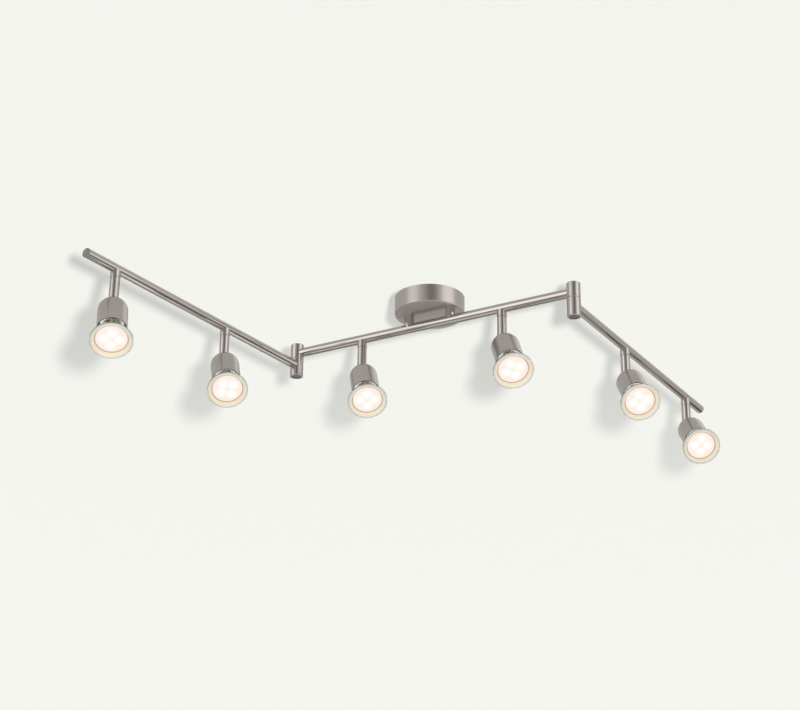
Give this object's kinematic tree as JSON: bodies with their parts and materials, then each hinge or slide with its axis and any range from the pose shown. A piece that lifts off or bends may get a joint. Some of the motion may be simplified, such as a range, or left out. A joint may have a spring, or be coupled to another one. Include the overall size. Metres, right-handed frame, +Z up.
{
  "type": "track lighting fixture",
  "caption": "Ceiling light with a round canopy, a straight main arm, two pivoting outer arms and hanging spot heads that swivel and tilt.",
  "frame": {"origin": "centre of the mounting screw pattern on the ceiling face of the canopy", "axes": "+Z up into the ceiling, +X along the fixed main arm, +Y horizontal and across it"},
  "size_m": [0.5056, 0.8087, 0.1765],
  "materials": {
    "satin_nickel": "satin nickel plate with a fine lengthwise brush",
    "zinc_steel": "bright zinc plate",
    "brass": "bare turned brass",
    "terminal_plastic": "white moulded plastic",
    "plug_plastic": "grey moulded plastic with a satin face",
    "nylon": "dark nylon",
    "wire_sleeve": "silicone wire sleeve",
    "ceramic": null,
    "bulb_plastic": "heat-resistant moulded plastic",
    "bulb_glass": "clear pressed glass"
  },
  "bodies": {
    "base": {"canopy": "satin_nickel", "mounting_plate": "zinc_steel", "canopy_screws": "zinc_steel", "terminal_block": "terminal_plastic", "spacer_tubes": "satin_nickel", "hollow_rods": "brass", "rod_nuts": "brass", "main_arm_tube": "satin_nickel", "main_arm_collars": "satin_nickel", "upper_barrels": "satin_nickel", "pivot_washers": "nylon", "main_arm_wiring": "wire_sleeve"},
    "left_arm": {"left_arm_tube": "satin_nickel", "left_arm_end_plug": "plug_plastic", "left_arm_collars": "satin_nickel", "left_lower_barrel": "satin_nickel", "left_barrel_cap": "satin_nickel", "left_arm_wiring": "wire_sleeve"},
    "right_arm": {"right_arm_tube": "satin_nickel", "right_arm_end_plug": "plug_plastic", "right_arm_collars": "satin_nickel", "right_lower_barrel": "satin_nickel", "right_barrel_cap": "satin_nickel", "right_arm_wiring": "wire_sleeve"},
    "head1_swivel": {"head1_post": "satin_nickel", "head1_knuckle_screw": "zinc_steel"},
    "head1_spot": {"head1_cup": "satin_nickel", "head1_lampholder": "ceramic", "head1_bulb_base": "bulb_plastic", "head1_bulb_glass": "bulb_glass"},
    "head2_swivel": {"head2_post": "satin_nickel", "head2_knuckle_screw": "zinc_steel"},
    "head2_spot": {"head2_cup": "satin_nickel", "head2_lampholder": "ceramic", "head2_bulb_base": "bulb_plastic", "head2_bulb_glass": "bulb_glass"},
    "head3_swivel": {"head3_post": "satin_nickel", "head3_knuckle_screw": "zinc_steel"},
    "head3_spot": {"head3_cup": "satin_nickel", "head3_lampholder": "ceramic", "head3_bulb_base": "bulb_plastic", "head3_bulb_glass": "bulb_glass"},
    "head4_swivel": {"head4_post": "satin_nickel", "head4_knuckle_screw": "zinc_steel"},
    "head4_spot": {"head4_cup": "satin_nickel", "head4_lampholder": "ceramic", "head4_bulb_base": "bulb_plastic", "head4_bulb_glass": "bulb_glass"},
    "head5_swivel": {"head5_post": "satin_nickel", "head5_knuckle_screw": "zinc_steel"},
    "head5_spot": {"head5_cup": "satin_nickel", "head5_lampholder": "ceramic", "head5_bulb_base": "bulb_plastic", "head5_bulb_glass": "bulb_glass"},
    "head6_swivel": {"head6_post": "satin_nickel", "head6_knuckle_screw": "zinc_steel"},
    "head6_spot": {"head6_cup": "satin_nickel", "head6_lampholder": "ceramic", "head6_bulb_base": "bulb_plastic", "head6_bulb_glass": "bulb_glass"}
  },
  "joints": [
    {"name": "left_arm_swing", "type": "hinge", "parent": "base", "child": "left_arm", "pos_m": [-0.203, 0, -0.0539], "axis": [0, 0, 1], "range_deg": [-170, 40]},
    {"name": "right_arm_swing", "type": "hinge", "parent": "base", "child": "right_arm", "pos_m": [0.203, 0, -0.0539], "axis": [0, 0, 1], "range_deg": [-170, 40]},
    {"name": "head1_swivel", "type": "hinge", "parent": "left_arm", "child": "head1_swivel", "pos_m": [-0.22762, -0.35214, -0.0663], "axis": [0, 0, 1], "range_deg": [-175, 175]},
    {"name": "head1_tilt", "type": "hinge", "parent": "head1_swivel", "child": "head1_spot", "pos_m": [-0.22762, -0.35214, -0.0919], "axis": [-0.7314, -0.682, 0], "range_deg": [-79, 21]},
    {"name": "head2_swivel", "type": "hinge", "parent": "left_arm", "child": "head2_swivel", "pos_m": [-0.21346, -0.14963, -0.0663], "axis": [0, 0, 1], "range_deg": [-175, 175]},
    {"name": "head2_tilt", "type": "hinge", "parent": "head2_swivel", "child": "head2_spot", "pos_m": [-0.21346, -0.14963, -0.0919], "axis": [-0.7071, -0.7071, 0], "range_deg": [-86, 14]},
    {"name": "head3_swivel", "type": "hinge", "parent": "base", "child": "head3_swivel", "pos_m": [-0.101, 0, -0.0489], "axis": [0, 0, 1], "range_deg": [-175, 175]},
    {"name": "head3_tilt", "type": "hinge", "parent": "head3_swivel", "child": "head3_spot", "pos_m": [-0.101, 0, -0.0745], "axis": [-0.7431, -0.6691, 0], "range_deg": [-85, 15]},
    {"name": "head4_swivel", "type": "hinge", "parent": "base", "child": "head4_swivel", "pos_m": [0.104, 0, -0.0489], "axis": [0, 0, 1], "range_deg": [-175, 175]},
    {"name": "head4_tilt", "type": "hinge", "parent": "head4_swivel", "child": "head4_spot", "pos_m": [0.104, 0, -0.0745], "axis": [-0.7314, -0.682, 0], "range_deg": [-86, 14]},
    {"name": "head5_swivel", "type": "hinge", "parent": "right_arm", "child": "head5_swivel", "pos_m": [0.20562, 0.14998, -0.0663], "axis": [0, 0, 1], "range_deg": [-175, 175]},
    {"name": "head5_tilt", "type": "hinge", "parent": "head5_swivel", "child": "head5_spot", "pos_m": [0.20562, 0.14998, -0.0919], "axis": [-0.766, -0.6428, 0], "range_deg": [-93, 7]},
    {"name": "head6_swivel", "type": "hinge", "parent": "right_arm", "child": "head6_swivel", "pos_m": [0.20913, 0.35095, -0.0663], "axis": [0, 0, 1], "range_deg": [-175, 175]},
    {"name": "head6_tilt", "type": "hinge", "parent": "head6_swivel", "child": "head6_spot", "pos_m": [0.20913, 0.35095, -0.0919], "axis": [-0.788, -0.6157, 0], "range_deg": [-97, 3]}
  ]
}
